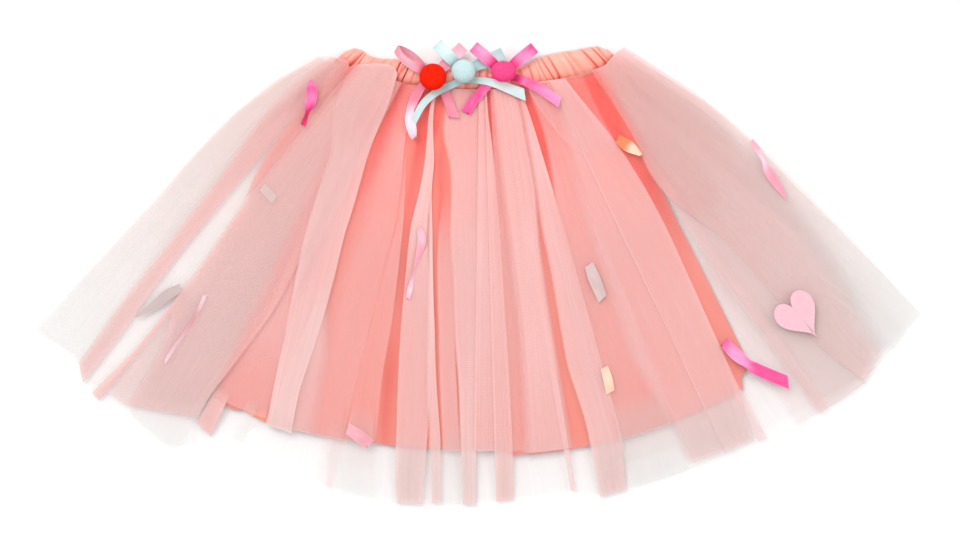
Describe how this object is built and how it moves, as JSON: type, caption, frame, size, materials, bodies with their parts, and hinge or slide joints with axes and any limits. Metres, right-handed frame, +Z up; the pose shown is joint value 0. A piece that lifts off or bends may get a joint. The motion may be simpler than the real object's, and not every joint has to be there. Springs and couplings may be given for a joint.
{
  "type": "tulle skirt",
  "caption": "Child's layered tulle skirt laid flat: ruched elastic waistband with ribbon bows and pompoms, satin lining, pleated net layers, loose ribbon lengths and a bare heart patch.",
  "frame": {"origin": "on the underside of the back, on the surface the skirt lies on, near the middle of its outline", "axes": "+X to the skirt's right as seen from above with the waist away from the viewer, +Y from hem to waist, +Z up, out of the front face"},
  "size_m": [0.709, 0.3736, 0.0289],
  "materials": {
    "coral_satin": "satin",
    "band_satin": "satin",
    "pink_tulle": "matte net",
    "pale_tulle": "matte net",
    "pink_ribbon": "satin",
    "aqua_ribbon": "satin",
    "magenta_ribbon": "satin",
    "grey_ribbon": "satin",
    "orange_ribbon": "satin",
    "orange_fluff": "fuzzy",
    "aqua_fluff": "fuzzy",
    "magenta_fluff": "fuzzy",
    "heart_felt": "matte felt"
  },
  "bodies": {
    "root": {"tulle_outer_back": "pale_tulle", "tulle_inner_back": "pink_tulle", "lining_back": "coral_satin", "lining_front": "coral_satin", "tulle_inner_front": "pink_tulle", "tulle_outer_front": "pale_tulle", "waistband_front": "band_satin", "waistband_back": "band_satin", "bow_pink_loops": "pink_ribbon", "bow_pink_tails": "pink_ribbon", "bow_aqua_loops": "aqua_ribbon", "bow_aqua_tails": "aqua_ribbon", "bow_magenta_loops": "magenta_ribbon", "bow_magenta_tails": "magenta_ribbon", "orange_pompom": "orange_fluff", "aqua_pompom": "aqua_fluff", "magenta_pompom": "magenta_fluff", "ribbon_magenta_left": "magenta_ribbon", "ribbon_orange": "orange_ribbon", "ribbon_pink_right": "magenta_ribbon", "ribbon_magenta_right": "magenta_ribbon", "ribbon_pink_middle": "pink_ribbon", "ribbon_aqua_middle": "grey_ribbon", "ribbon_aqua_left": "grey_ribbon", "ribbon_pink_left": "pink_ribbon", "ribbon_pink_hem": "pink_ribbon", "ribbon_cream": "orange_ribbon", "ribbon_pale": "grey_ribbon", "heart_patch": "heart_felt"}
  },
  "joints": []
}
